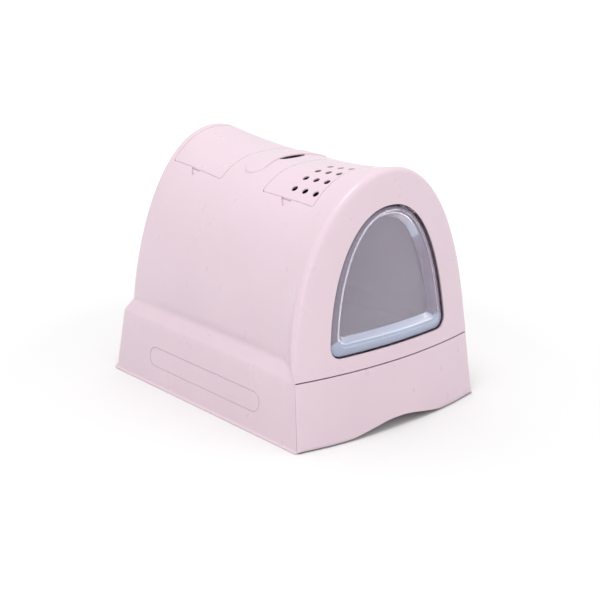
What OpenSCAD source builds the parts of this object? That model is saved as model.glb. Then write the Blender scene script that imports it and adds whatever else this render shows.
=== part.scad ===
// Cat litter box with hood: a pale moulded hood that stands on the floor, a pull-out litter
// drawer across its front, a clear swinging entrance door and two roof lids with a grip between.
// Millimetres. Origin at the middle of the footprint on the floor, +Z up, the front faces -Y.

/* [Overall size] */
// Full width across the floor flange
width = 400; // [390:1:410]
// Full length between the two bowed ends, on the floor
length = 560; // [550:1:570]
// Height of the rear roof peak, the tallest point
height = 425; // [420:1:432]

/* [Hood] */
// Wall thickness of every moulded skin
wall = 3; // [2.6:0.1:3.4]
// How far the front and the rear bulge out between their corners
bow = 25; // [22:0.5:28]
// How far the front face leans back from the floor to the roof
lean = 34; // [32:0.5:36]
// Radius of the rounded edge around the front and rear faces
edge_radius = 9; // [7:0.5:10]
// How far the front rim flares out beyond the hood side
flare = 21; // [18:0.5:23]

/* [Door] */
// Half-width of the entrance at the height of the arch centre
door_half = 128.5; // [126:0.5:130]
// Height of the straight sill of the entrance
sill = 136; // [134:0.5:138]
// How far the clear pane sits behind the door's raised rim
pane_depth = 17; // [14:0.5:20]
// Diameter of the two hinge pins of the door
door_pin = 5; // [4:0.1:5]

/* [Drawer] */
// Height of the seam between the drawer and the hood
seam = 112; // [110:0.5:114]
// Height of the finger gap at the middle of the drawer's lower edge
finger_gap = 15; // [10:0.5:18]
// Depth of the litter pan
pan_depth = 92; // [80:1:94]

/* [Roof lids] */
// Half-width of both lids across the roof
lid_half = 104; // [102:0.5:106]
// Clear gap around each lid
lid_gap = 0.8; // [0.6:0.1:1]
// Diameter of each vent hole
vent_hole = 11; // [9:0.5:13]

/* [Hidden] */
$fn = 64;

shell_colour = [0.93, 0.83, 0.88];
trim_colour = [0.88, 0.78, 0.83];
clear_colour = [0.62, 0.64, 0.74, 0.6];
pad_colour = [0.2, 0.2, 0.2];

// Arch of the roof: centre height, then half-width, rise and squareness at three stations.
arch_z = 100;
side_half = width / 2 - 29;
front_rise = height - arch_z - 3;
sag = 22;
mid_rise = front_rise - sag + 2;
rear_rise = height - arch_z;
flare_end = 0.13;
foot_z = 2.4;
ledge_z = 110;
crease_z = 131;
// Heights and half-widths of the side from the floor flange to the foot of the arch.
side_mid = [[0, 200], [2.4, 200], [3.6, 197], [55, 190.2], [102, 184.2], [109, 182.6], [114, 179.5],
    [128, 171.5], [132, 170.2], [138, 170.4]];
side_front = [[0, 200], [2.4, 200], [3.6, 197], [55, 194], [101, 191], [105, 190.9], [108.5, 190.9],
    [112, 191], [115.5, 191.1], [119, 191.3]];
side_normal = [[1, 0], [1, 0], [1, 0], [1, 0.13], [0.98, 0.2], [0.9, 0.42], [0.86, 0.5],
    [0.86, 0.5], [0.97, 0.2], [1, 0]];
arch_steps = 15;
stations = [0, 0.015, 0.035, 0.06, 0.09, 0.13, 0.2, 0.29, 0.39, 0.5, 0.61, 0.71, 0.8, 0.88, 0.95, 1];
edge_angles = [0, 30, 60, 90];
cap_scales = [0.35, 0.65, 0.85];
cap_centre = 150;

// Front face: how far the face is set back at a height, and its bowed surface.
function set_back(z) = lean * (1 - exp(-max(z, 0) / 260)) / (1 - exp(-425 / 260));
function front_y(x, z) = -length / 2 + bow * pow(x / 200, 2) + set_back(z);
// Rear face: a skirt, the ledge that steps in above it, and the rear wall of the hood.
function rear_in(z) = z <= foot_z ? 0
    : z < ledge_z ? 3 + 13 * z / ledge_z
    : z < crease_z ? 16 + 16.4 * (z - ledge_z) / (crease_z - ledge_z)
    : 17 + 50 * z / 425;
// The inner surface (d > 0) has no flange, so its foot follows the skirt.
function rear_y(x, z, d) = length / 2 - bow * pow(x / 200, 2) - rear_in(max(z, d > 0 ? foot_z + 0.1 : 0));

function flaring(v) = pow(max(0, 1 - v / flare_end), 2);
function ending(v) = pow(abs(1 - 2 * v), 2.49);
function blend(a, b, t) = a + (b - a) * t;
function arch_half(v) = side_half + flare * flaring(v);
function arch_rise(v) = blend(mid_rise, v < 0.5 ? front_rise : rear_rise, ending(v));
function arch_power(v) = 2 / blend(2.66, 2.06, ending(v));
// Angle at which the arch starts, just above the foot of the hood's side.
function arch_first(v) =
    asin(pow((blend(138, 119, flaring(v)) + 1.2 - arch_z) / arch_rise(v), 1 / arch_power(v)));

// A point of the section at station v, pushed in by d: index 0 is the floor, the last is the ridge.
// The inner surface (deep) has no flange and runs out through the open bottom.
function side_point(v, i, d, deep) =
    let (g = flaring(v), m = side_mid[i], f = side_front[i], n = side_normal[i],
        nx = blend(n[0], 1, g), nz = blend(n[1], 0.05, g), half = blend(m[1], f[1], g) * width / 400,
        base = (deep && i < 2) ? half - 3 : half)
    [base - d * nx, blend(m[0], f[0], g) - (i < 2 ? 0 : d * nz) - ((deep && i == 0) ? 5 : 0)];
function arch_point(v, k, d) =
    let (t = blend(arch_first(v), 90, k / arch_steps), p = arch_power(v), a = arch_half(v),
        b = arch_rise(v), c = max(0, cos(t)), s = sin(t), nx = pow(c, 2 - p) / a, nz = pow(s, 2 - p) / b,
        n = sqrt(nx * nx + nz * nz))
    [a * pow(c, p) - d * nx / n, arch_z + b * pow(s, p) - d * nz / n];
side_count = len(side_mid);
half_count = side_count + arch_steps + 1;
function half_point(v, i, d, deep) =
    i < side_count ? side_point(v, i, d, deep) : arch_point(v, i - side_count, d);
// The closed section: up the left side, down the right side, and back along the floor.
floor_x = [0.6, 0.2, -0.2, -0.6];
loop_count = 2 * half_count - 1 + len(floor_x);
function loop_point(v, j, d, deep) =
    j < half_count ? let (q = half_point(v, j, d, deep)) [-q[0], q[1]]
    : j < 2 * half_count - 1 ? half_point(v, 2 * half_count - 2 - j, d, deep)
    : let (q = half_point(v, 0, d, deep)) [q[0] * floor_x[j - 2 * half_count + 1], q[1]];

// Rounding of the edge around each face: tight beside the drawer, fuller at the rear corners.
function rounding(v, z, d) =
    let (t = min(1, max(0, (z - ledge_z) / 40)))
    max(0.4, (v < 0.5 ? blend(4, edge_radius, t) : blend(14.6, edge_radius + 2, t)) - d);
// Loops of the whole hood, pushed in by d: front face, its rounded edge, the body, and the rear.
function face_point(v, x, z, back, d) =
    v < 0.5 ? [x, front_y(x, z) + back, z] : [x, rear_y(x, z, d) - back, z];
function edge_loop(v, angle, d) =
    [for (j = [0 : loop_count - 1])
        let (r = rounding(v, loop_point(v, j, 0, false)[1], d),
            q = loop_point(v, j, d + r * (1 - sin(angle)), d > 0))
        face_point(v, q[0], q[1], d + r * (1 - cos(angle)), d)];
function body_loop(v, d) =
    [for (j = [0 : loop_count - 1])
        let (q = loop_point(v, j, d, d > 0), z = loop_point(v, j, 0, false)[1],
            y0 = front_y(q[0], q[1]) + d + rounding(0, z, d), y1 = rear_y(q[0], q[1], d) - d - rounding(1, z, d))
        [q[0], blend(y0, y1, v), q[1]]];
function cap_loop(v, s, d) =
    [for (j = [0 : loop_count - 1])
        let (r = rounding(v, loop_point(v, j, 0, false)[1], d), q = loop_point(v, j, d + r, d > 0))
        face_point(v, q[0] * s, cap_centre + (q[1] - cap_centre) * s, d, d)];
function hood_loops(d) = concat(
    [for (s = cap_scales) cap_loop(0, s, d)],
    [for (a = edge_angles) edge_loop(0, a, d)],
    [for (k = [1 : len(stations) - 2]) body_loop(stations[k], d)],
    [for (k = [len(edge_angles) - 1 : -1 : 0]) edge_loop(1, edge_angles[k], d)],
    [for (k = [len(cap_scales) - 1 : -1 : 0]) cap_loop(1, cap_scales[k], d)]);

// A closed solid through a list of loops, each end closed on a middle point.
module skin(loops, first, last) {
    n = len(loops[0]);
    m = len(loops);
    points = concat([first], [for (l = loops) for (p = l) p], [last]);
    start = [for (j = [0 : n - 1]) [0, 1 + j, 1 + (j + 1) % n]];
    sides = [for (k = [0 : m - 2]) for (j = [0 : n - 1]) for (h = [0, 1])
        let (a = 1 + k * n + j, b = 1 + k * n + (j + 1) % n)
        h == 0 ? [a, a + n, b] : [b, a + n, b + n]];
    end = [for (j = [0 : n - 1]) [n * m + 1, 1 + (m - 1) * n + (j + 1) % n, 1 + (m - 1) * n + j]];
    polyhedron(points = points, faces = concat(start, sides, end), convexity = 12);
}

module hood_solid(d) {
    skin(hood_loops(d), [0, front_y(0, cap_centre) + d, cap_centre],
        [0, rear_y(0, cap_centre, d) - d, cap_centre]);
}

module hood_layer(outer, inner) {
    difference() {
        hood_solid(outer);
        hood_solid(inner);
    }
}

// A box between two corners.
module block(a, b) {
    translate(a) cube(b - a);
}

// A flat slab with rounded corners, seen from above.
module slab(x0, x1, y0, y1, z0, z1, r) {
    hull() for (x = [x0 + r, x1 - r]) for (y = [y0 + r, y1 - r])
        translate([x, y, z0]) cylinder(r = r, h = z1 - z0, $fn = 16);
}

// Entrance outline, pulled in at the sides, the top and the sill.
arch_top = 264;
door_power = 2 / 2.2;
corner_steps = 5;
door_steps = 15;
function door_edge(z, i_side, i_top) =
    (door_half - i_side) * pow(max(0, 1 - pow(min(1, (z - arch_z) / (arch_top - i_top)), 2.2)), 1 / 2.2);
function door_corner(k, is, it, ib, r) =
    let (a = 90 * k / corner_steps, zc = sill + ib + r, xc = door_edge(zc, is, it) - r)
    [xc + r * sin(a), zc - r * cos(a)];
function door_arch(k, is, it, ib, r) =
    let (z0 = sill + ib + r, s0 = asin(pow((z0 - arch_z) / (arch_top - it), 1.1)),
        t = s0 + (90 - s0) * k / door_steps)
    [(door_half - is) * pow(max(0, cos(t)), door_power), arch_z + (arch_top - it) * pow(sin(t), door_power)];
function door_half_list(is, it, ib, r) = concat(
    [for (k = [0 : corner_steps - 1]) door_corner(k, is, it, ib, r)],
    [for (k = [0 : door_steps]) door_arch(k, is, it, ib, r)]);
// Counter-clockwise seen from the front: right half up, left half down, then along the sill.
function door_outline(is, it, ib, r) =
    let (h = door_half_list(is, it, ib, r), n = len(h))
    concat(h, [for (k = [n - 2 : -1 : 0]) [-h[k][0], h[k][1]]],
        [for (s = [-0.5, 0, 0.5]) [h[0][0] * s, h[0][1]]]);
function door_loop(is, it, ib, r, depth) =
    [for (q = door_outline(is, it, ib, r)) [q[0], front_y(q[0], q[1]) + depth, q[1]]];

// Roof lids: fore and aft limits, and the line of their hinges on the far side.
vent_y = [-184, -60];
store_y = [49, 193];
hinge_x = lid_half + 3.2;
hinge_z = 366.5;
knuckle_r = 3.4;
lid_pin_d = 2.6;
running = 0.05;

// Seen from above; the free edge may draw in towards the rear, as it does on the rear lid.
module lid_plan(y, grow, top) {
    r = 4;
    hull() for (y1 = [y[0] - grow + r, y[1] + grow - r]) {
        translate([lid_half + grow - r, y1, 340]) cylinder(r = r, h = top - 340, $fn = 16);
        translate([free_edge(y, y1) - grow + r, y1, 340]) cylinder(r = r, h = top - 340, $fn = 16);
    }
}
function free_edge(y, at) = -lid_half - 1 + (y[0] > 0 ? 9 * (at - y[0]) / (y[1] - y[0]) : 0);

// Finger notch at the lower edge of a lid, sunk part of the way into the hood.
notch_depth = 1.9;
module finger_notch(y) {
    middle = (y[0] + y[1]) / 2;
    edge = free_edge(y, middle);
    hull() {
        translate([edge - 1, middle - 12, 345]) cube([2, 24, 60]);
        translate([edge - 9, middle - 1, 345]) cube([2, 2, 60]);
    }
}

// Clearance in the roof around a lid's hinge.
module hinge_room(y) {
    block([lid_half - 7, y[0] + 14, hinge_z - 14], [hinge_x + 4.2, y[1] - 14, hinge_z + 9]);
}

module roof_opening(y) {
    lid_plan(y, 0, 440);
    hinge_room(y);
}

// A slot-shaped line engraved in each side of the skirt.
function side_face(z) = (side_mid[2][1] + (side_mid[3][1] - side_mid[2][1]) * (z - 3.6) / 51.4) * width / 400;
module side_stroke(side, a, b, w = 1.4) {
    hull() for (p = [a, b]) translate([side * (side_face(p[1]) + 1), p[0], p[1]])
        cube([6.8 - 2 * w, w, w], center = true);
}
module side_line(side) {
    radius = 16.4;
    middle = 51;
    for (z = [middle - radius, middle + radius]) side_stroke(side, [-136.5, z], [130.5, z], 1.3);
    for (end = [-1, 1]) for (k = [0 : 5])
        side_stroke(side, side_end(end, k, radius, middle), side_end(end, k + 1, radius, middle));
}
function side_end(end, k, radius, middle) =
    [-3 + end * (134 + radius * cos(-90 + 30 * k)), middle + radius * sin(-90 + 30 * k)];

// The space of the drawer front: ahead of a plane that leans back along the corners.
module drawer_zone(gap, top) {
    hull() {
        translate([-230, -length / 2 - 30, -10]) cube([460, 30 + corner_y(0) + 2.67 - gap + length / 2, 1]);
        translate([-230, -length / 2 - 30, top - 1]) cube([460, 30 + corner_y(seam) + 2.67 - gap + length / 2, 1]);
    }
}
function corner_y(z) = front_y(194 - 0.03 * z, z);

module hood_shell() {
    color(shell_colour) difference() {
        union() {
            hood_layer(0, wall);
            // Rebates that carry the two roof lids.
            for (y = [vent_y, store_y]) intersection() {
                hood_layer(wall - 0.46, wall + 3);
                lid_plan(y, 4.7, 440);
            }
            // Ribs that stiffen the front wall above the drawer.
            for (x = [-150, -75, 0, 75, 150]) intersection() {
                hood_layer(wall - 0.5, wall + 5);
                hull() for (z = [seam + 4, sill - 3]) translate([x, -230, z]) cube([3, 90, 3], center = true);
            }
        }
        // Drawer opening across the whole front.
        drawer_zone(0, seam);
        // Entrance.
        translate([0, -120, 0]) rotate([90, 0, 0])
            linear_extrude(height = 300) polygon(door_outline(0, 0, 0, 20));
        // Lids.
        for (y = [vent_y, store_y]) {
            difference() {
                roof_opening(y);
                hood_solid(wall + 0.133);
            }
            lid_plan(y, -6.46, 440);
            hinge_room(y);
            difference() {
                finger_notch(y);
                hood_solid(notch_depth);
            }
        }
        // Finger slot in front of the grip and just under it.
        translate([0, grip_y[0] + 9, 380]) scale([2.3, 1, 1]) cylinder(r = 12, h = 40, $fn = 40);
        // Lines on the sides.
        for (side = [-1, 1]) side_line(side);
    }
}

// Grip over the middle of the roof, a strap with round ends and a hollowed front edge.
grip_y = [-20, 24];
grip_half = 84;
module carry_handle() {
    color(shell_colour) union() {
        difference() {
            intersection() {
                hood_layer(-2.6, 0);
                slab(-grip_half, grip_half, grip_y[0], grip_y[1], 370, 440, 18);
            }
            translate([0, grip_y[0] - 164 + 20, 380]) cylinder(r = 156, h = 60, $fn = 96);
        }
        // Finger ribs on the underside, in the slot.
        for (k = [-4 : 4]) hull() for (y = [grip_y[0] + 13.5, grip_y[0] + 16.5])
            translate([4.5 * k, y, arch_z + mid_rise - 0.2]) sphere(r = 1.2, $fn = 10);
    }
}

// Door hinge line: behind the front wall, near the top of the entrance.
door_hinge_z = 352;
door_hinge_y = front_y(0, door_hinge_z) + 9;

module along_x(r, x0, x1, y, z) {
    translate([x0, y, z]) rotate([0, 90, 0]) cylinder(r = r, h = x1 - x0);
}
module along_y(r, y0, y1, x, z) {
    translate([x, y1, z]) rotate([90, 0, 0]) cylinder(r = r, h = y1 - y0);
}

module door_socket(side) {
    color(trim_colour) mirror([side < 0 ? 1 : 0, 0, 0]) difference() {
        union() {
            block([50.5, door_hinge_y - 3.4, door_hinge_z - 6], [61, door_hinge_y + 6, door_hinge_z + 6]);
            block([58, door_hinge_y - 3.4, door_hinge_z - 12], [61, door_hinge_y + 4, door_hinge_z - 5]);
        }
        along_x(door_pin / 2 + running, 50, 59.5, door_hinge_y, door_hinge_z);
    }
}
module left_door_socket() {
    door_socket(-1);
}
module right_door_socket() {
    door_socket(1);
}

module door_pin_piece(side) {
    color(clear_colour) mirror([side < 0 ? 1 : 0, 0, 0]) union() {
        block([33, door_hinge_y - 0.2, door_hinge_z - 6], [47, door_hinge_y + 5, door_hinge_z + 4]);
        along_x(door_pin / 2, 45, 59, door_hinge_y, door_hinge_z);
    }
}
module left_door_pin() {
    door_pin_piece(-1);
}
module right_door_pin() {
    door_pin_piece(1);
}

module door_flap() {
    depth = pane_depth;
    color(clear_colour) skin([
        door_loop(62, 102, 62, 7, depth + 2.2),
        door_loop(27, 23, 29, 11, depth + 2.2),
        door_loop(26, 22, 28, 11.5, depth + 0.8),
        door_loop(19, 14.5, 21, 13, 3.8),
        door_loop(13.5, 9, 15.5, 15, 1.4),
        door_loop(2.2, 4, 2, 18.5, 7.2),
        door_loop(2.2, 4, 2, 18.5, 5),
        door_loop(12.5, 8, 14.5, 15, -1),
        door_loop(14, 9.5, 16, 14.5, -2),
        door_loop(15.5, 11, 17.5, 14, -0.8),
        door_loop(17, 12.5, 19, 14, 2),
        door_loop(24, 20, 26, 12, depth - 1.5),
        door_loop(25, 21, 27, 12, depth),
        door_loop(60, 100, 60, 8, depth)],
        [0, front_y(0, 230) + depth + 2.2, 230], [0, front_y(0, 230) + depth, 230]);
}

// Drawer: a bowed front panel carried by a litter pan that hangs by its rim on two rails.
rail_top = 97;
pan_top = rail_top + 2.5;
pan_y = [-238, 226];
pan_half = 165;
module drawer_rail(side) {
    color(trim_colour) mirror([side < 0 ? 1 : 0, 0, 0]) union() {
        block([173.5, -226, rail_top - 3], [181.3, 230, rail_top - 0.02]);
        block([178.3, -226, rail_top - 14], [181.3, 230, rail_top - 3]);
        // End stop behind the pan.
        block([173.5, 226.4, rail_top - 3], [180.4, 230, rail_top + 6]);
    }
}
module left_drawer_rail() {
    drawer_rail(-1);
}
module right_drawer_rail() {
    drawer_rail(1);
}

// A straight-sided box with rounded vertical corners.
module round_box(x, y0, y1, z0, z1, r) {
    block([-x + r, y0, z0], [x - r, y1, z1]);
    block([-x, y0 + r, z0], [x, y1 - r, z1]);
    for (sx = [-1, 1]) for (y = [y0 + r, y1 - r]) translate([sx * (x - r), y, z0]) cylinder(r = r, h = z1 - z0);
}
module litter_pan() {
    color(trim_colour) difference() {
        union() {
            round_box(pan_half, pan_y[0], pan_y[1], pan_top - pan_depth, pan_top, 24);
            round_box(180.4, pan_y[0], pan_y[1], rail_top, pan_top, 24);
        }
        round_box(pan_half - 2.5, pan_y[0] + 2.5, pan_y[1] - 2.5, pan_top - pan_depth + 2.5, pan_top + 5, 21.5);
    }
}

// Lower edge of the drawer front: level at the ends, lifted in the middle for the fingers.
lower_z = 2.9;
function lower_edge(x) = lower_z + (abs(x) < 120 ? finger_gap * (1 + cos(1.5 * x)) / 2 : 0);
module drawer_front() {
    color(shell_colour) difference() {
        union() {
            intersection() {
                hood_layer(0, wall);
                drawer_zone(0.7, seam - 2.2);
            }
            // Ribs that carry the pan.
            for (x = [-150, -108, -66, -24, 24, 66, 108, 150]) intersection() {
                hood_solid(wall - 0.3);
                hull() for (z = [28, 88]) translate([x - 1.5, -300, z]) cube([3, 300 + pan_y[0], 4]);
            }
        }
        translate([0, -150, 0]) rotate([90, 0, 0]) linear_extrude(height = 200)
            polygon(concat([[-230, -20], [-230, lower_z]],
                [for (x = [-120 : 10 : 120]) [x, lower_edge(x)]], [[230, lower_z], [230, -20]]));
    }
}

// Roof lids.
module lid_skin(y) {
    intersection() {
        hood_layer(0, wall - 0.7);
        lid_plan(y, -lid_gap, 440);
    }
}
vent_rows = [for (k = [0 : 3]) -94.5 + 27 * k];
function vent_x(s) = sign(s) * (abs(s) - pow(abs(s) / 95, 3) * 5.5);
function roof_z(x, v) =
    arch_z + arch_rise(v) * pow(1 - pow(abs(x) / arch_half(v), 2 / arch_power(v)), arch_power(v) / 2);
module vent_lid() {
    color(shell_colour) difference() {
        lid_skin(vent_y);
        for (s = vent_rows) for (y = [-172, -147, -122]) hull() for (z = [0, 1])
            translate([vent_x(s), y, roof_z(vent_x(s), (y + 250) / 500)]) rotate([0, s * 0.36, 0])
                translate([0, 0, 20 * z - 10]) rotate(13) cylinder(d = vent_hole, h = 1, $fn = 12);
    }
}
module storage_lid() {
    color(shell_colour) union() {
        lid_skin(store_y);
        // Stiffening ribs under the lid.
        for (k = [-4 : 4]) intersection() {
            hood_layer(wall - 0.9, wall + 2);
            hull() for (y = [store_y[0] + 12, store_y[1] - 12]) translate([20 * k, y, 330]) cylinder(r = 1, h = 110, $fn = 8);
        }
    }
}

module knuckles(y, n) {
    w = (y[1] - y[0] - 30) / n;
    color(trim_colour) for (k = [1 : 2 : n - 2]) difference() {
        union() {
            along_y(knuckle_r, y[0] + 15 + k * w, y[0] + 15 + (k + 1) * w - 0.4, hinge_x, hinge_z);
            block([hinge_x - 7, y[0] + 15 + k * w, hinge_z - 3.4], [hinge_x, y[0] + 15 + (k + 1) * w - 0.4, hinge_z - 1.7]);
        }
        along_y(lid_pin_d / 2 + running, y[0], y[1], hinge_x, hinge_z);
    }
}
module lugs(y, n) {
    w = (y[1] - y[0] - 30) / n;
    color(trim_colour) for (k = [0 : 2 : n - 1]) difference() {
        union() {
            along_y(knuckle_r, y[0] + 15 + k * w, y[0] + 15 + (k + 1) * w - 0.4, hinge_x, hinge_z);
            block([hinge_x, y[0] + 15 + k * w, hinge_z - 9], [hinge_x + 4.15, y[0] + 15 + (k + 1) * w - 0.4, hinge_z - 1]);
        }
        along_y(lid_pin_d / 2, y[0], y[1], hinge_x, hinge_z);
    }
}
module pin(y) {
    color(trim_colour) along_y(lid_pin_d / 2, y[0] + 15, y[1] - 15.4, hinge_x, hinge_z);
}
module vent_lid_knuckles() {
    knuckles(vent_y, 5);
}
module vent_lid_lugs() {
    lugs(vent_y, 5);
}
module vent_lid_pin() {
    pin(vent_y);
}
module storage_lid_knuckles() {
    knuckles(store_y, 5);
}
module storage_lid_lugs() {
    lugs(store_y, 5);
}
module storage_lid_pin() {
    pin(store_y);
}

// Boxes hung under the lids: their end walls rise in an arc under the roof, and four tabs reach
// out to the edge of the opening.
hung_half = 92;
module hung_box(lid, z0, left) {
    y = [lid[0] + 8, lid[1] - 8];
    difference() {
        union() {
            intersection() {
                block([-left, y[0], z0], [hung_half, y[1], 400]);
                along_y(165, y[0], y[1], 0, 227);
            }
            for (f = [y[0] + 12, y[1] - 24]) {
                block([hung_half - 1, f, 356], [97.4, f + 12, 369]);
                block([free_edge(lid, f + 12) + 6.6, f, 356], [1 - left, f + 12, 369]);
            }
        }
        block([2 - left, y[0] + 2, z0 + 2], [hung_half - 2, y[1] - 2, 410]);
    }
}
holder_y = [vent_y[0] + 8, vent_y[1] - 8];
holder_z = 352;
module filter_holder() {
    color(trim_colour) difference() {
        hung_box(vent_y, holder_z, hung_half);
        // Slots that let the air through the floor.
        for (k = [-5 : 5]) block([k * 15 - 4, holder_y[0] + 12, holder_z - 5], [k * 15 + 4, holder_y[1] - 12, holder_z + 5]);
    }
}
module carbon_filter() {
    color(pad_colour) block([-88, holder_y[0] + 4, holder_z + 2.02], [88, holder_y[1] - 4, holder_z + 11]);
}
module storage_bin() {
    color(trim_colour) hung_box(store_y, 300, 84);
}

hood_shell();
carry_handle();
left_door_socket();
right_door_socket();
left_drawer_rail();
right_drawer_rail();
vent_lid_lugs();
vent_lid_pin();
storage_lid_lugs();
storage_lid_pin();
filter_holder();
carbon_filter();
storage_bin();
door_flap();
left_door_pin();
right_door_pin();
drawer_front();
litter_pan();
vent_lid();
vent_lid_knuckles();
storage_lid();
storage_lid_knuckles();
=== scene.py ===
import math

import bmesh
import bpy
import numpy as np
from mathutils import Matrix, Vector
from mathutils.bvhtree import BVHTree


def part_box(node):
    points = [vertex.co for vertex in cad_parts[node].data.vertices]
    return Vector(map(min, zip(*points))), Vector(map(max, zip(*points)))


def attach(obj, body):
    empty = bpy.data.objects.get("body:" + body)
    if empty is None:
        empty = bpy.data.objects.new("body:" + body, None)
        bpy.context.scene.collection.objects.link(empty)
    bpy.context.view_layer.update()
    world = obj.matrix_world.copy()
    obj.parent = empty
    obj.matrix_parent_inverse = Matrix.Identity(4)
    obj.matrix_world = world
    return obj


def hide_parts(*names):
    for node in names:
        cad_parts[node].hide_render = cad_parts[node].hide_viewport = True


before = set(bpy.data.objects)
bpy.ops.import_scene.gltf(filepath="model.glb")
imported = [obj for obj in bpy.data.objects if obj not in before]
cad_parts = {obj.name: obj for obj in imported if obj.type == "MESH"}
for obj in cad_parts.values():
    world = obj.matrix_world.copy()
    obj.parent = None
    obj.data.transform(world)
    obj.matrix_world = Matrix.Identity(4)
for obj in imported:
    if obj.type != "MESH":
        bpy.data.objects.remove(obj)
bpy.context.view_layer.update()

MM = 0.001

# Driving sizes of the hood, in millimetres, but FLARE_END is a share of its length
WALL, LENGTH, HEIGHT, HALF_WIDTH = 3.0, 560.0, 425.0, 200.0
BOW, LEAN, LEAN_REACH = 25.0, 34.0, 260.0
ARCH_Z, LEDGE_Z, CREASE_Z, FOOT_Z, SEAM, SILL = 100.0, 110.0, 131.0, 2.4, 112.0, 136.0
SIDE_HALF, FLARE, FLARE_END = 171.0, 21.0, 0.13
FRONT_RISE, MID_RISE, REAR_RISE = 322.0, 302.0, 325.0
EDGE_RADIUS, CAP_CENTRE = 9.0, 150.0

# Roof lids: half width, gap all round, and the stretch of the length that each takes
LID_HALF, LID_GAP, VENT_Y, STORE_Y = 104.0, 0.8, (-184.0, -60.0), (49.0, 193.0)


# ---------------------------------------------------------------- shape of the hood, in millimetres

def blend(a, b, t):
    return a + (b - a) * t


def set_back(z):
    """How far the front has leaned back at a height."""
    return LEAN * (1 - math.exp(-max(z, 0) / LEAN_REACH)) / (1 - math.exp(-HEIGHT / LEAN_REACH))


def front_y(x, z):
    return -LENGTH / 2 + BOW * (x / HALF_WIDTH) ** 2 + set_back(z)


def rear_y(x, z, deep=False):
    z = max(z, FOOT_Z + 0.1 if deep else 0)
    if z <= FOOT_Z:
        inward = 0
    elif z < LEDGE_Z:
        inward = 3 + 13 * z / LEDGE_Z
    elif z < CREASE_Z:
        inward = 16 + 16.4 * (z - LEDGE_Z) / (CREASE_Z - LEDGE_Z)
    else:
        inward = 17 + 50 * z / HEIGHT
    return LENGTH / 2 - BOW * (x / HALF_WIDTH) ** 2 - inward


def flaring(v):
    """How much of the front corners' flare is left at station v, from 1 at the front to 0."""
    return max(0, 1 - v / FLARE_END) ** 2


def ending(v):
    """0 in the middle of the length and 1 at both ends."""
    return abs(1 - 2 * v) ** 2.49


def arch(v):
    """Half width, rise and power of the roof's arch at station v."""
    rise = blend(MID_RISE, FRONT_RISE if v < 0.5 else REAR_RISE, ending(v))
    return SIDE_HALF + FLARE * flaring(v), rise, 2 / blend(2.66, 2.06, ending(v))


def softened(points, reach, steps=3):
    """Weights that turn each inner corner of a line into a small curve: rows of (index, weight)."""
    rows = [[(0, 1.0)]]
    for i in range(1, len(points) - 1):
        before = math.dist(points[i - 1], points[i])
        after = math.dist(points[i], points[i + 1])
        a, b = min(0.45, reach / before), min(0.45, reach / after)
        for k in range(steps + 1):
            t = k / steps
            u = 1 - t
            rows.append([(i - 1, u * u * a), (i, u * u * (1 - a) + 2 * u * t + t * t * (1 - b)),
                         (i + 1, t * t * b)])
    rows.append([(len(points) - 1, 1.0)])
    return rows


# Half the skirt and ledge as (half width, height), amidships and at the flared front, and the
# direction that each point is pushed in by for a wall
SIDE_MID = ((200, 0), (200, 2.4), (197, 3.6), (190.2, 55), (184.2, 102), (182.6, 109), (179.5, 114),
            (171.5, 128), (170.2, 132), (170.4, 138))
SIDE_FRONT = ((200, 0), (200, 2.4), (197, 3.6), (194, 55), (191, 101), (190.9, 105), (190.9, 108.5),
              (191, 112), (191.1, 115.5), (191.3, 119))
SIDE_NORMAL = ((1, 0), (1, 0), (1, 0), (1, 0.13), (0.98, 0.2), (0.9, 0.42), (0.86, 0.5),
               (0.86, 0.5), (0.97, 0.2), (1, 0))
SIDE_ROWS = softened(SIDE_MID, 3.0)
ARCH_STEPS = 56


def row_of(table, row):
    return [sum(w * table[i][k] for i, w in row) for k in (0, 1)]


def half_section(v, d, deep):
    """Half of the cross-section at station v, pushed in by d, from the floor up to the ridge."""
    g = flaring(v)
    points = []
    for row in SIDE_ROWS:
        m, f, n = row_of(SIDE_MID, row), row_of(SIDE_FRONT, row), row_of(SIDE_NORMAL, row)
        nx, nz = blend(n[0], 1, g), blend(n[1], 0.05, g)
        half, z = blend(m[0], f[0], g), blend(m[1], f[1], g)
        on_flange = max(0, 1 - m[1] / 3.6)
        if deep:
            half -= 3 * on_flange
            z -= 5 * max(0, 1 - m[1] / 1.2)
        points.append((half - d * nx, z - d * nz * (1 - on_flange), z))
    a, b, p = arch(v)
    first = math.asin(((blend(138, 119, g) + 1.0 - ARCH_Z) / b) ** (1 / p))
    for k in range(ARCH_STEPS + 1):
        t = blend(first, math.pi / 2, k / ARCH_STEPS)
        c, s = max(0, math.cos(t)), math.sin(t)
        if k == ARCH_STEPS:
            c = 0.0
        nx, nz = c ** (2 - p) / a, s ** (2 - p) / b
        n = math.hypot(nx, nz)
        z = ARCH_Z + b * s ** p
        points.append((a * c ** p - d * nx / n, z - d * nz / n, z))
    return points


FLOOR_X = (0.75, 0.5, 0.25, 0, -0.25, -0.5, -0.75)


def section(v, d, deep):
    """The closed section: rows of (x, z, the height before it was pushed in)."""
    half = half_section(v, d, deep)
    loop = [(-x, z, z0) for x, z, z0 in half] + half[-2::-1]
    x, z, z0 = half[0]
    return loop + [(x * s, z, z0) for s in FLOOR_X]


def rounding(v, z, d):
    """Radius of the edge between the sides and an end, at a height, on a skin pushed in by d."""
    t = min(1, max(0, (z - LEDGE_Z) / 40))
    r = blend(4, EDGE_RADIUS, t) if v < 0.5 else blend(14.6, EDGE_RADIUS + 2, t)
    return max(0.4, r - d)


def face_point(v, x, z, back, deep):
    return (x, front_y(x, z) + back, z) if v < 0.5 else (x, rear_y(x, z, deep) - back, z)


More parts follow.
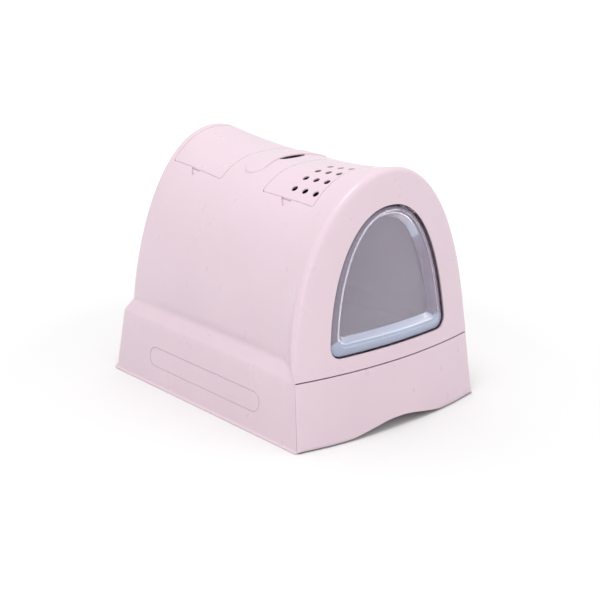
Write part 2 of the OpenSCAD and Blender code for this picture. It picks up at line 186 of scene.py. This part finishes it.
STATIONS = ([0.13 * k / 14 for k in range(1, 15)] + [0.13 + 0.72 * k / 30 for k in range(1, 31)]
            + [0.85 + 0.15 * k / 8 for k in range(1, 8)])
EDGE_ANGLES = [10 * k for k in range(10)]
CAP_SCALES = (0.12, 0.3, 0.5, 0.7, 0.85, 0.95)


def hood_loops(d):
    """Loops of the hood's skin pushed in by d, from the middle of the front to the middle of the back."""
    deep = d > 0
    loops = []

    def edge_loop(v, angle):
        s, c = math.sin(math.radians(angle)), math.cos(math.radians(angle))
        plain = section(v, 0, False)
        inset = {}
        out = []
        for j, (_, z0, _) in enumerate(plain):
            r = rounding(v, z0, d)
            key = round(r, 2)
            if key not in inset:
                inset[key] = section(v, d + key * (1 - s), deep)
            x, z, _ = inset[key][j]
            out.append(face_point(v, x, z, d + key * (1 - c), deep))
        return out

    def cap_loop(v, scale):
        rim = edge_loop(v, 0)
        return [face_point(v, x * scale, CAP_CENTRE + (z - CAP_CENTRE) * scale, d, deep) for x, _, z in rim]

    def body_loop(v):
        out = []
        for x, z, z0 in section(v, d, deep):
            y0 = front_y(x, z) + d + rounding(0, z0, d)
            y1 = rear_y(x, z, deep) - d - rounding(1, z0, d)
            out.append((x, blend(y0, y1, v), z))
        return out

    loops += [cap_loop(0, s) for s in CAP_SCALES]
    loops += [edge_loop(0, a) for a in EDGE_ANGLES]
    loops += [body_loop(v) for v in STATIONS]
    loops += [edge_loop(1, a) for a in reversed(EDGE_ANGLES)]
    loops += [cap_loop(1, s) for s in reversed(CAP_SCALES)]
    return loops


# ---------------------------------------------------------------- mesh helpers

def new_mesh(name, points, faces):
    mesh = bpy.data.meshes.new(name)
    mesh.from_pydata([(x * MM, y * MM, z * MM) for x, y, z in points], [], faces)
    work = bmesh.new()
    work.from_mesh(mesh)
    if work.calc_volume(signed=True) < 0:
        bmesh.ops.reverse_faces(work, faces=work.faces)
    work.to_mesh(mesh)
    work.free()
    return mesh


def skin(name, loops, first, last):
    """A closed mesh through a list of loops, with each end closed on a middle point."""
    n, m = len(loops[0]), len(loops)
    points = [first] + [p for loop in loops for p in loop] + [last]
    faces = []
    for j in range(n):
        j1 = (j + 1) % n
        faces.append((0, 1 + j, 1 + j1))
        faces.append((n * m + 1, 1 + (m - 1) * n + j1, 1 + (m - 1) * n + j))
        for k in range(m - 1):
            a, b = 1 + k * n + j, 1 + k * n + j1
            faces.append((a, a + n, b + n, b))
    return new_mesh(name, points, faces)


def hood_solid(d):
    return skin("hood", hood_loops(d), (0, front_y(0, CAP_CENTRE) + d, CAP_CENTRE),
                (0, rear_y(0, CAP_CENTRE) - d, CAP_CENTRE))


def prism(outline, low, high, axis=2):
    """A straight prism over a 2-D outline, along z (axis 2) or along y (axis 1, outline in x and z)."""
    n = len(outline)
    if axis == 2:
        points = [(x, y, low) for x, y in outline] + [(x, y, high) for x, y in outline]
    else:
        points = [(x, low, z) for x, z in outline] + [(x, high, z) for x, z in outline]
    faces = [tuple(range(n)), tuple(range(2 * n - 1, n - 1, -1))]
    faces += [(i, n + i, n + (i + 1) % n, (i + 1) % n) for i in range(n)]
    return new_mesh("prism", points, faces)


def block(a, b):
    return prism([(a[0], a[1]), (b[0], a[1]), (b[0], b[1]), (a[0], b[1])], a[2], b[2])


def carve(base, *steps):
    """Applies (operation, mesh) steps to a mesh and returns the result."""
    body = bpy.data.objects.new("work", base)
    bpy.context.scene.collection.objects.link(body)
    tools = []
    for how, mesh in steps:
        tool = bpy.data.objects.new("tool", mesh)
        bpy.context.scene.collection.objects.link(tool)
        tools.append(tool)
        cut = body.modifiers.new("cut", "BOOLEAN")
        cut.operation, cut.solver, cut.object = how, "MANIFOLD", tool
    result = bpy.data.meshes.new_from_object(body.evaluated_get(bpy.context.evaluated_depsgraph_get()))
    for o in tools + [body]:
        bpy.data.objects.remove(o)
    return result


def cut(*meshes):
    return [("DIFFERENCE", m) for m in meshes]


def add(*meshes):
    return [("UNION", m) for m in meshes]


def within(*meshes):
    return [("INTERSECT", m) for m in meshes]


def shade(mesh, source=None, angle=35):
    """Smooth shading with sharp edges by angle. Faces on the source skin take its own normals."""
    mesh.shade_smooth()
    mesh.set_sharp_from_angle(angle=math.radians(angle))
    if source is None:
        return
    source.shade_smooth()
    count = len(source.vertices)
    co = np.empty(count * 3)
    source.vertices.foreach_get("co", co)
    co = co.reshape(-1, 3)
    normal = np.array([tuple(v.vector) for v in source.vertex_normals])
    source.calc_loop_triangles()
    tris = [tuple(t.vertices) for t in source.loop_triangles]
    tree = BVHTree.FromPolygons([tuple(p) for p in co], tris)
    found = {}

    def smooth_normal(i):
        if i not in found:
            p = mesh.vertices[i].co
            spot, _, index, gap = tree.find_nearest(p)
            if gap > 0.00004:
                found[i] = None
            else:
                a, b, c = (co[k] for k in tris[index])
                w = np.linalg.lstsq(np.stack([a, b, c]).T, np.array(spot), rcond=None)[0].clip(0, 1)
                n = sum(w[k] * normal[tris[index][k]] for k in range(3))
                found[i] = Vector(n / np.linalg.norm(n))
        return found[i]

    out = [Vector(n.vector) for n in mesh.corner_normals]
    for face in mesh.polygons:
        near = [smooth_normal(i) for i in face.vertices]
        if all(n is not None and n.dot(face.normal) > 0.82 for n in near):
            for loop, n in zip(face.loop_indices, near):
                out[loop] = n
    mesh.normals_split_custom_set(out)


def piece(name, mesh, material, body, nodes):
    mesh.name = name
    mesh.materials.clear()
    mesh.materials.append(material)
    o = bpy.data.objects.new(name, mesh)
    bpy.context.scene.collection.objects.link(o)
    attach(o, body)
    if nodes:
        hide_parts(*nodes)
    return o


# ---------------------------------------------------------------- materials

def nodes_of(name):
    """A new material with its node tree and its main shader."""
    material = bpy.data.materials.new(name)
    material.use_nodes = True
    tree = material.node_tree
    shader = tree.nodes["Principled BSDF"]
    return material, tree, shader


def node(tree, kind, links=(), **settings):
    """A node with its values set, and links given as (input, output socket)."""
    made = tree.nodes.new(kind)
    for key, value in settings.items():
        if key in made.inputs:
            made.inputs[key].default_value = value
        else:
            setattr(made, key, value)
    for target, source in links:
        tree.links.new(source, made.inputs[target])
    return made


def plastic(name, colour, roughness, grain=1.0, speckle=0.02):
    """Moulded plastic: fine grain, faint flow marks and slightly uneven gloss."""
    material, tree, shader = nodes_of(name)
    place = node(tree, "ShaderNodeTexCoord").outputs["Object"]
    flow = node(tree, "ShaderNodeTexNoise", [("Vector", place)], Scale=7.0, Detail=3.0, Roughness=0.5)
    fine = node(tree, "ShaderNodeTexNoise", [("Vector", place)], Scale=900.0, Detail=2.0, Roughness=0.6)
    scuff = node(tree, "ShaderNodeTexNoise", [("Vector", place)], Scale=26.0, Detail=2.0, Roughness=0.5)
    tint = node(tree, "ShaderNodeValToRGB", [("Fac", flow.outputs["Fac"])])
    dark = [c * (1 - speckle) for c in colour]
    light = [min(1, c * (1 + speckle)) for c in colour]
    tint.color_ramp.elements[0].position, tint.color_ramp.elements[1].position = 0.3, 0.7
    tint.color_ramp.elements[0].color = (*dark, 1)
    tint.color_ramp.elements[1].color = (*light, 1)
    tree.links.new(tint.outputs["Color"], shader.inputs["Base Color"])
    gloss = node(tree, "ShaderNodeMapRange", [("Value", scuff.outputs["Fac"])],
                 **{"From Min": 0.3, "From Max": 0.7,
                    "To Min": roughness - 0.02, "To Max": roughness + 0.03})
    tree.links.new(gloss.outputs["Result"], shader.inputs["Roughness"])
    waves = node(tree, "ShaderNodeTexNoise", [("Vector", place)], Scale=14.0, Detail=1.0)
    bump = node(tree, "ShaderNodeBump", [("Height", fine.outputs["Fac"])],
                Strength=0.01 * grain, Distance=0.0003)
    broad = node(tree, "ShaderNodeBump",
                 [("Height", waves.outputs["Fac"]), ("Normal", bump.outputs["Normal"])],
                 Strength=0.05 * grain, Distance=0.004)
    tree.links.new(broad.outputs["Normal"], shader.inputs["Normal"])
    shader.inputs["IOR"].default_value = 1.46
    return material


def clear(name, colour, roughness, through):
    """Tinted clear plastic with faint moulding waves and fine wear."""
    material, tree, shader = nodes_of(name)
    place = node(tree, "ShaderNodeTexCoord").outputs["Object"]
    waves = node(tree, "ShaderNodeTexNoise", [("Vector", place)], Scale=9.0, Detail=2.0)
    wear = node(tree, "ShaderNodeTexNoise", [("Vector", place)], Scale=220.0, Detail=4.0, Roughness=0.7)
    tint = node(tree, "ShaderNodeValToRGB", [("Fac", waves.outputs["Fac"])])
    tint.color_ramp.elements[0].position, tint.color_ramp.elements[1].position = 0.3, 0.7
    tint.color_ramp.elements[0].color = (*[c * 0.97 for c in colour], 1)
    tint.color_ramp.elements[1].color = (*[min(1, c * 1.03) for c in colour], 1)
    tree.links.new(tint.outputs["Color"], shader.inputs["Base Color"])
    gloss = node(tree, "ShaderNodeMapRange", [("Value", wear.outputs["Fac"])],
                 **{"From Min": 0.35, "From Max": 0.75, "To Min": roughness, "To Max": roughness + 0.08})
    tree.links.new(gloss.outputs["Result"], shader.inputs["Roughness"])
    bump = node(tree, "ShaderNodeBump", [("Height", waves.outputs["Fac"])], Strength=0.06, Distance=0.003)
    tree.links.new(bump.outputs["Normal"], shader.inputs["Normal"])
    shader.inputs["Transmission Weight"].default_value = through
    shader.inputs["IOR"].default_value = 1.45
    return material


def carbon(name):
    """Black foam of an odour filter, with open pores."""
    material, tree, shader = nodes_of(name)
    place = node(tree, "ShaderNodeTexCoord").outputs["Object"]
    pores = node(tree, "ShaderNodeTexVoronoi", [("Vector", place)], Scale=420.0)
    fluff = node(tree, "ShaderNodeTexNoise", [("Vector", place)], Scale=160.0, Detail=5.0)
    tint = node(tree, "ShaderNodeValToRGB", [("Fac", pores.outputs["Distance"])])
    tint.color_ramp.elements[0].color = (0.006, 0.006, 0.007, 1)
    tint.color_ramp.elements[1].color = (0.07, 0.07, 0.075, 1)
    tree.links.new(tint.outputs["Color"], shader.inputs["Base Color"])
    bump = node(tree, "ShaderNodeBump", [("Height", pores.outputs["Distance"])],
                Strength=0.8, Distance=0.0015)
    soft = node(tree, "ShaderNodeBump",
                [("Height", fluff.outputs["Fac"]), ("Normal", bump.outputs["Normal"])],
                Strength=0.5, Distance=0.002)
    tree.links.new(soft.outputs["Normal"], shader.inputs["Normal"])
    shader.inputs["Roughness"].default_value = 0.95
    shader.inputs["Specular IOR Level"].default_value = 0.2
    return material


PINK = (0.625, 0.497, 0.556)
shell = plastic("shell_plastic", PINK, 0.29)
inner = plastic("inner_plastic", (0.62, 0.485, 0.545), 0.5, grain=1.4)
glazing = clear("clear_plastic", (0.79, 0.73, 0.86), 0.06, 0.8)
# Painted light: a lighter, bluish, less clear copy of the door's plastic, which paints the glow of grazing
# light through the door's bottom bevel
rim_glazing_painted_light = clear("clear_rim_painted_light", (0.58, 0.64, 0.80), 0.12, 0.45)
pad = carbon("carbon_pad")


# ---------------------------------------------------------------- outlines

def arc(cx, cy, r, a0, a1, n):
    """Points of an arc from angle a0 to a1, in degrees."""
    return [(cx + r * math.cos(math.radians(blend(a0, a1, k / n))),
             cy + r * math.sin(math.radians(blend(a0, a1, k / n)))) for k in range(n + 1)]


def free_edge(y, at):
    """Where a lid's free edge lies at a place along it. The rear lid's runs at a slant."""
    return -LID_HALF - 1 + (9 * (at - y[0]) / (y[1] - y[0]) if y[0] > 0 else 0)


def lid_plan(y, grow, top=440, low=340, r=4):
    """A prism over a lid's outline, grown by some millimetres."""
    a, b = y[0] - grow + r, y[1] + grow - r
    right = LID_HALF + grow - r
    outline = (arc(right, a, r, -90, 0, 8) + arc(right, b, r, 0, 90, 8)
               + arc(free_edge(y, b) - grow + r, b, r, 90, 180, 8)
               + arc(free_edge(y, a) - grow + r, a, r, 180, 270, 8))
    return prism(outline, low, top)


def finger_notch(y):
    """Cutter for the small dip in the hood beside a lid's free edge."""
    middle = (y[0] + y[1]) / 2
    edge = free_edge(y, middle)
    half = arc(edge - 4, middle, 5, 140, 180, 4)
    side = [(edge + 1, middle + 12), (edge - 1, middle + 12)]
    mirrored = [(x, 2 * middle - v) for x, v in half[-2::-1]]
    outline = side + half + mirrored + [(edge - 1, middle - 12), (edge + 1, middle - 12)]
    return prism(outline, 345, 405)


def hinge_room(y):
    """The space that a lid's knuckles, lugs and pin take."""
    return block((LID_HALF - 7, y[0] + 14, 352.5), (LID_HALF + 7.4, y[1] - 14, 375.5))


def drawer_zone(gap, top):
    """The space ahead of a plane that leans back along the front corners."""
    def corner(z):
        return front_y(194 - 0.03 * z, z) + 2.67 - gap
    points = []
    for z, y in ((-10, corner(0)), (-9, corner(0)), (top, corner(SEAM))):
        points += [(-230, -310, z), (230, -310, z), (230, y, z), (-230, y, z)]
    faces = [(0, 1, 2, 3), (11, 10, 9, 8)]
    for k in (0, 4):
        faces += [(k + i, k + 4 + i, k + 4 + (i + 1) % 4, k + (i + 1) % 4) for i in range(4)]
    return new_mesh("zone", points, faces)


ARCH_TOP, DOOR_HALF, DOOR_POWER = 264.0, 128.5, 2.2


def door_edge(z, i_side, i_top):
    """Half width of the doorway's arch at a height, with its side and top moved in."""
    up = min(1, (z - ARCH_Z) / (ARCH_TOP - i_top))
    return (DOOR_HALF - i_side) * max(0, 1 - up ** DOOR_POWER) ** (1 / DOOR_POWER)


def door_outline(i_side, i_top, i_base, r, corner_steps=10, arch_steps=44, sill_steps=24):
    """The doorway's outline moved in: right half upwards, left half down, then along the sill."""
    zc = SILL + i_base + r
    xc = door_edge(zc, i_side, i_top) - r
    half = [(xc + r * math.sin(math.radians(90 * k / corner_steps)),
             zc - r * math.cos(math.radians(90 * k / corner_steps))) for k in range(corner_steps)]
    s0 = math.asin(((zc - ARCH_Z) / (ARCH_TOP - i_top)) ** (DOOR_POWER / 2))
    for k in range(arch_steps + 1):
        t = s0 + (math.pi / 2 - s0) * k / arch_steps
        c = 0.0 if k == arch_steps else max(0, math.cos(t))
        half.append(((DOOR_HALF - i_side) * c ** (2 / DOOR_POWER),
                     ARCH_Z + (ARCH_TOP - i_top) * math.sin(t) ** (2 / DOOR_POWER)))
    left = [(-x, z) for x, z in half[-2::-1]]
    x0, z0 = half[0]
    return half + left + [(blend(-x0, x0, k / sill_steps), z0) for k in range(1, sill_steps)]


# ---------------------------------------------------------------- hood

outer = hood_solid(0)


def layer(a, b):
    """A layer of the hood between two depths below its outer skin."""
    return carve(hood_solid(a), *cut(hood_solid(b)))


def side_slot(side):
    """Cutter for the slot-shaped line engraved in a side of the skirt."""
    radius, middle_z = 16.4, 51
    path = []
    for end, centre in ((1, 131), (-1, -137)):
        for k in range(17):
            a = math.radians(-90 + 180 * k / 16)
            c, s = end * math.cos(a), end * math.sin(a)
            path.append((centre + radius * c, middle_z + radius * s, c, s))
    points = []
    profile = ((-1.0, 3), (-0.8, -0.7), (0, -1.0), (0.8, -0.7), (1.0, 3))
    for y, z, ny, nz in path:
        for across, out in profile:
            zz = z + across * nz
            x = 197 + (190.2 - 197) * (zz - 3.6) / 51.4
            points.append((side * (x + out), y + across * ny, zz))
    n, m = len(path), len(profile)
    faces = [(k * m + j, ((k + 1) % n) * m + j, ((k + 1) % n) * m + (j + 1) % m, k * m + (j + 1) % m)
             for k in range(n) for j in range(m)]
    return new_mesh("slot", points, faces)


steps = list(cut(hood_solid(WALL)))
for y in (VENT_Y, STORE_Y):
    steps += add(carve(layer(WALL - 0.46, WALL + 3), *within(lid_plan(y, 4.7))))
for x in (-150, -75, 0, 75, 150):
    rib = block((x - 1.5, -275, SEAM + 2.5), (x + 1.5, -185, SILL - 1.5))
    steps += add(carve(layer(WALL - 0.5, WALL + 5), *within(rib)))
steps += cut(drawer_zone(0, SEAM), prism(door_outline(0, 0, 0, 20), -420, -120, axis=1))
for y in (VENT_Y, STORE_Y):
    top = carve(lid_plan(y, 0), *add(hinge_room(y)), *cut(hood_solid(WALL + 0.133)))
    steps += cut(top, lid_plan(y, -6.46), hinge_room(y), carve(finger_notch(y), *cut(hood_solid(1.9))))
slot_angles = [math.radians(6 * k) for k in range(60)]
slot_outline = [(27.6 * math.cos(a), -11 + 12 * math.sin(a)) for a in slot_angles]
steps += cut(prism(slot_outline, 380, 420), side_slot(1), side_slot(-1))
hood = carve(outer.copy(), *steps)
shade(hood, outer)
piece("hood_moulding", hood, shell, "hood", ["hood_shell"])

# ---------------------------------------------------------------- drawer front


def lower_edge(x):
    """Height of the drawer front's lower edge, which rises in the middle for the fingers."""
    return 2.9 + (15 * (1 + math.cos(math.radians(1.5 * x))) / 2 if abs(x) < 120 else 0)


edge = [(-230, -20), (-230, 2.9)] + [(x, lower_edge(x)) for x in range(-120, 121, 3)]
edge += [(230, 2.9), (230, -20)]
ribs = [carve(hood_solid(WALL - 0.3), *within(block((x - 1.5, -300, 28), (x + 1.5, -238, 92))))
        for x in (-150, -108, -66, -24, 24, 66, 108, 150)]
front = carve(layer(0, WALL), *within(drawer_zone(0.7, SEAM - 2.2)), *add(*ribs),
              *cut(prism(edge, -350, -150, axis=1)))
shade(front, outer)
piece("drawer_panel", front, shell, "drawer", ["drawer_front"])

# ---------------------------------------------------------------- lids


def vent_x(s):
    """Where a hole's middle lies across the lid, from its place along the curved roof."""
    return math.copysign(abs(s) - (abs(s) / 95) ** 3 * 5.5, s)


def roof_z(x, v):
    """Height of the arch over x at station v."""
    a, b, p = arch(v)
    return ARCH_Z + b * max(0, 1 - (abs(x) / a) ** (2 / p)) ** (p / 2)


def roof_at(x, y):
    """Height of the roof over a point of the plan."""
    v = (y + 250) / 500
    for _ in range(4):
        z = roof_z(x, v)
        y0, y1 = front_y(x, z) + rounding(0, z, 0), rear_y(x, z) - rounding(1, z, 0)
        v = min(1, max(0, (y - y0) / (y1 - y0)))
    return roof_z(x, v)


def vent(s, y, radius=5.5, sides=28):
    """Cutter for one vent hole, square to the roof, with a slightly eased upper edge."""
    lean = math.radians(s * 0.36)
    up = (math.sin(lean), 0, math.cos(lean))
    across = (math.cos(lean), 0, -math.sin(lean))
    x = vent_x(s)
    middle = (x, y, roof_at(x, y))
    loops = []
    eased = ((-10, 0), (-0.9, 0), (-0.4, 0.15), (0, 0.5), (0.4, 1.1), (9, 1.1))
    for h, wider in eased:
        r = radius + wider
        loop = []
        for k in range(sides):
            a = 2 * math.pi * k / sides
            c, q = r * math.cos(a), r * math.sin(a)
            along = (0, q, 0)
            loop.append(tuple(middle[i] + up[i] * h + across[i] * c + along[i] for i in range(3)))
        loops.append(loop)
    ends = [tuple(middle[i] + up[i] * h for i in range(3)) for h in (-10, 9)]
    return skin("vent", loops, *ends)


lid_layer = layer(0, WALL - 0.7)
vents = [vent(-94.5 + 27 * k, y) for k in range(4) for y in (-172, -147, -122)]
front_lid = carve(lid_layer.copy(), *within(lid_plan(VENT_Y, -LID_GAP)), *cut(*vents))
shade(front_lid, outer)
piece("front_roof_lid", front_lid, shell, "front_lid", ["vent_lid"])
under = layer(WALL - 0.9, WALL + 2)
rib_ends = STORE_Y[0] + 11, STORE_Y[1] - 11
lid_ribs = [carve(under.copy(), *within(block((x - 1, rib_ends[0], 330), (x + 1, rib_ends[1], 440))))
            for x in range(-80, 81, 20)]
rear_lid = carve(lid_layer.copy(), *within(lid_plan(STORE_Y, -LID_GAP)), *add(*lid_ribs))
shade(rear_lid, outer)
piece("rear_roof_lid", rear_lid, shell, "rear_lid", ["storage_lid"])

# ---------------------------------------------------------------- grip


def grip():
    """A strap with round ends, a hollowed front edge and rounded rims, lying on the roof."""
    half, y0, y1, r = 84, -20, 24, 21.9
    columns, rows = 120, 26
    middle = (y0 + y1) / 2
    xs = [-half * math.cos(math.pi * k / columns) for k in range(columns + 1)]

    def edges(x):
        over = abs(x) - (half - r)
        reach = math.sqrt(max(0, r * r - over * over)) if over > 0 else r
        low = middle - reach
        hollow = -164 + math.sqrt(156 ** 2 - x * x)
        low = 0.5 * (low + hollow + math.sqrt((low - hollow) ** 2 + 4)) if abs(x) < half - r + 4 else low
        return low, middle + reach
    spans = [edges(x) for x in xs]
    rim = np.array([(x, e[0]) for x, e in zip(xs, spans)] + [(x, e[1]) for x, e in zip(xs, spans)])
    top, bottom = [], []
    for x, (low, high) in zip(xs, spans):
        for j in range(rows + 1):
            y = blend(low, high, 0.5 - 0.5 * math.cos(math.pi * j / rows))
            d = float(np.min(np.hypot(rim[:, 0] - x, rim[:, 1] - y)))
            if j in (0, rows):
                d = 0
            h = 2.6 * math.sqrt(max(0, 1 - (1 - min(d, 3.2) / 3.2) ** 2))
            z = roof_at(x, y)
            top.append((x, y, z + h))
            bottom.append((x, y, z - 0.3))
    n = rows + 1
    faces = []
    for i in range(columns):
        for j in range(rows):
            a = i * n + j
            faces.append((a, a + n, a + n + 1, a + 1))
            b = a + len(top)
            faces.append((b, b + 1, b + n + 1, b + n))
        for j, step in ((0, 1), (rows, -1)):
            a, b = i * n + j, (i + 1) * n + j
            c, d = a + len(top), b + len(top)
            faces.append((a, c, d, b) if step > 0 else (a, b, d, c))
    for i in (0, columns):
        for j in range(rows):
            a = i * n + j
            c = a + len(top)
            faces.append((a, a + 1, c + 1, c) if i == 0 else (a, c, c + 1, a + 1))
    return new_mesh("grip", top + bottom, faces)


strap = grip()
shade(strap, None, 60)
piece("grip_strap", strap, shell, "hood", ["carry_handle"])

# ---------------------------------------------------------------- door

# PANE is the depth of the pane's outer face behind the front. Each row of the profile is how far the outline
# is moved in at the sides, the top and the base, its corner radius, and how deep it lies
PANE = 17
PROFILE = [(62, 102, 62, 7, PANE + 2.2), (27, 23, 29, 11, PANE + 2.2), (26, 22, 28, 11.5, PANE + 0.8),
           (19, 14.5, 21, 13, 3.8), (13.5, 9, 15.5, 15, 1.4), (2.2, 4, 2, 18.5, 7.2),
           (2.2, 4, 2, 18.5, 5), (12.5, 8, 14.5, 15, -1), (14, 9.5, 16, 14.5, -2),
           (15.5, 11, 17.5, 14, -0.8), (17, 12.5, 19, 14, 2), (24, 20, 26, 12, PANE - 1.5),
           (25, 21, 27, 12, PANE), (60, 100, 60, 8, PANE)]
loops = []
for row in softened([(p[0], p[4]) for p in PROFILE], 0.9):
    values = [sum(w * PROFILE[i][k] for i, w in row) for k in range(5)]
    loops.append([(x, front_y(x, z) + values[4], z) for x, z in door_outline(*values[:4])])
door = skin("door", loops, (0, front_y(0, 230) + PANE + 2.2, 230), (0, front_y(0, 230) + PANE, 230))
shade(door, None, 50)
piece("clear_door", door, glazing, "door", ["door_flap"])
door.materials.append(rim_glazing_painted_light)
# Faces of the bottom bevel take the copy with painted light, and the rest keep the clear plastic
for face in door.polygons:
    x, y, z = face.center / MM
    depth = y - front_y(x, z)
    face.material_index = 1 if z < SILL + 27 and depth < PANE + 1 else 0

# ---------------------------------------------------------------- filter pad


def filter_pad():
    """A flat mat with rounded edges and an uneven upper face."""
    low, high = (np.array(c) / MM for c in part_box("carbon_filter"))
    centre, half = (low + high) / 2, (high - low) / 2
    nx, ny = 90, 60
    points, faces = [], []
    for side in (1, -1):
        for i in range(nx + 1):
            for j in range(ny + 1):
                u, v = 2 * i / nx - 1, 2 * j / ny - 1
                u, v = math.sin(u * math.pi / 2), math.sin(v * math.pi / 2)
                full = max(0, (1 - abs(u) ** 14) * (1 - abs(v) ** 14)) ** 0.5
                ripple = (0.35 * math.sin(u * 23) * math.sin(v * 17)
                          + 0.25 * math.sin(u * 51 + 2) * math.sin(v * 43 + 1))
                z = centre[2] + side * full * (half[2] - 0.7 + (ripple if side > 0 else 0))
                points.append((centre[0] + u * half[0], centre[1] + v * half[1], z))
    n = ny + 1
    count = (nx + 1) * n
    for i in range(nx):
        for j in range(ny):
            a = i * n + j
            faces.append((a, a + n, a + n + 1, a + 1))
            faces.append((a + count, a + 1 + count, a + n + 1 + count, a + n + count))
    mesh = new_mesh("filter", points, faces)
    work = bmesh.new()
    work.from_mesh(mesh)
    bmesh.ops.remove_doubles(work, verts=work.verts, dist=0.00001)
    work.to_mesh(mesh)
    work.free()
    return mesh


mat = filter_pad()
shade(mat, None, 70)
piece("filter_mat", mat, pad, "hood", ["carbon_filter"])

# ---------------------------------------------------------------- carried-over CAD pieces

for name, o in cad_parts.items():
    kind = o.data.materials[0].name.split(".")[0] if o.data.materials else "inner_plastic"
    chosen = {"clear_plastic": glazing, "carbon_pad": pad, "shell_plastic": shell}.get(kind, inner)
    for k in range(len(o.material_slots)):
        o.material_slots[k].material = chosen

# ---------------------------------------------------------------- floor, light and camera

floor_mesh = bpy.data.meshes.new("floor")
FLOOR_HALF, FLOOR_DROP = 40, 0.0004
floor_corners = [(x * FLOOR_HALF, y * FLOOR_HALF, -FLOOR_DROP)
                 for x, y in ((-1, -1), (1, -1), (1, 1), (-1, 1))]
floor_mesh.from_pydata(floor_corners, [], [(0, 1, 2, 3)])
floor = bpy.data.objects.new("floor", floor_mesh)
bpy.context.scene.collection.objects.link(floor)
paper, tree, shader = nodes_of("floor_paper")
shader.inputs["Base Color"].default_value = (0.75, 0.75, 0.75, 1)
shader.inputs["Roughness"].default_value = 0.9
shader.inputs["Specular IOR Level"].default_value = 0.0
# Painted light: the floor glows more the farther it lies from the middle, not at all within half a metre and
# up to 0.35 beyond 1.6 metres, so the far floor turns white while the shade near the hood stays
spot = node(tree, "ShaderNodeTexCoord").outputs["Object"]
reach = node(tree, "ShaderNodeVectorMath", [(0, spot)], operation="LENGTH").outputs["Value"]
glow = node(tree, "ShaderNodeMapRange", [("Value", reach)],
            **{"From Min": 0.5, "From Max": 1.6, "To Max": 0.35})
shader.inputs["Emission Color"].default_value = (1, 1, 1, 1)
tree.links.new(glow.outputs["Result"], shader.inputs["Emission Strength"])
floor_mesh.materials.append(paper)

world = bpy.data.worlds.new("soft_room")
bpy.context.scene.world = world
world.use_nodes = True
back = world.node_tree.nodes["Background"]
sky = node(world.node_tree, "ShaderNodeTexCoord").outputs["Generated"]
height = node(world.node_tree, "ShaderNodeSeparateXYZ", [("Vector", sky)]).outputs["Z"]
level = node(world.node_tree, "ShaderNodeMapRange", [("Value", height)],
             **{"From Min": -1.0, "To Min": 0.5, "To Max": 1.2})
world.node_tree.links.new(level.outputs["Result"], back.inputs["Strength"])
back.inputs["Color"].default_value = (1.0, 0.998, 1.0, 1)


def soft_light(name, place, aim, size, power):
    data = bpy.data.lights.new(name, "AREA")
    data.shape, data.size, data.energy = "DISK", size, power
    o = bpy.data.objects.new(name, data)
    o.location = place
    o.rotation_mode = "QUATERNION"
    o.rotation_quaternion = (Vector(aim) - Vector(place)).to_track_quat("-Z", "Y")
    bpy.context.scene.collection.objects.link(o)


soft_light("key", (-0.7, -0.5, 2.5), (0, 0, 0.2), 1.0, 21)
soft_light("edge", (-1.9, -1.7, 0.6), (0, -0.2, 0.2), 0.7, 3.6)
soft_light("fill", (1.2, -2.6, 0.9), (0, -0.2, 0.2), 1.5, 4.5)

camera_data = bpy.data.cameras.new("camera")
camera_data.sensor_width = 36
camera_data.lens = 36 * 1418.2 / 600
camera_data.clip_end = 200
camera = bpy.data.objects.new("camera", camera_data)
azimuth, elevation, distance = math.radians(-40.675), math.radians(18.164), 2.4733
aim = Vector((0.02691, 0, 0.14071))
level_away = math.cos(elevation)
away = Vector((math.sin(azimuth) * level_away, -math.cos(azimuth) * level_away, math.sin(elevation)))
camera.location = aim + away * distance
camera.rotation_mode = "QUATERNION"
camera.rotation_quaternion = (-away).to_track_quat("-Z", "Y")
bpy.context.scene.collection.objects.link(camera)
bpy.context.scene.camera = camera
bpy.context.scene.view_settings.view_transform = "Standard"
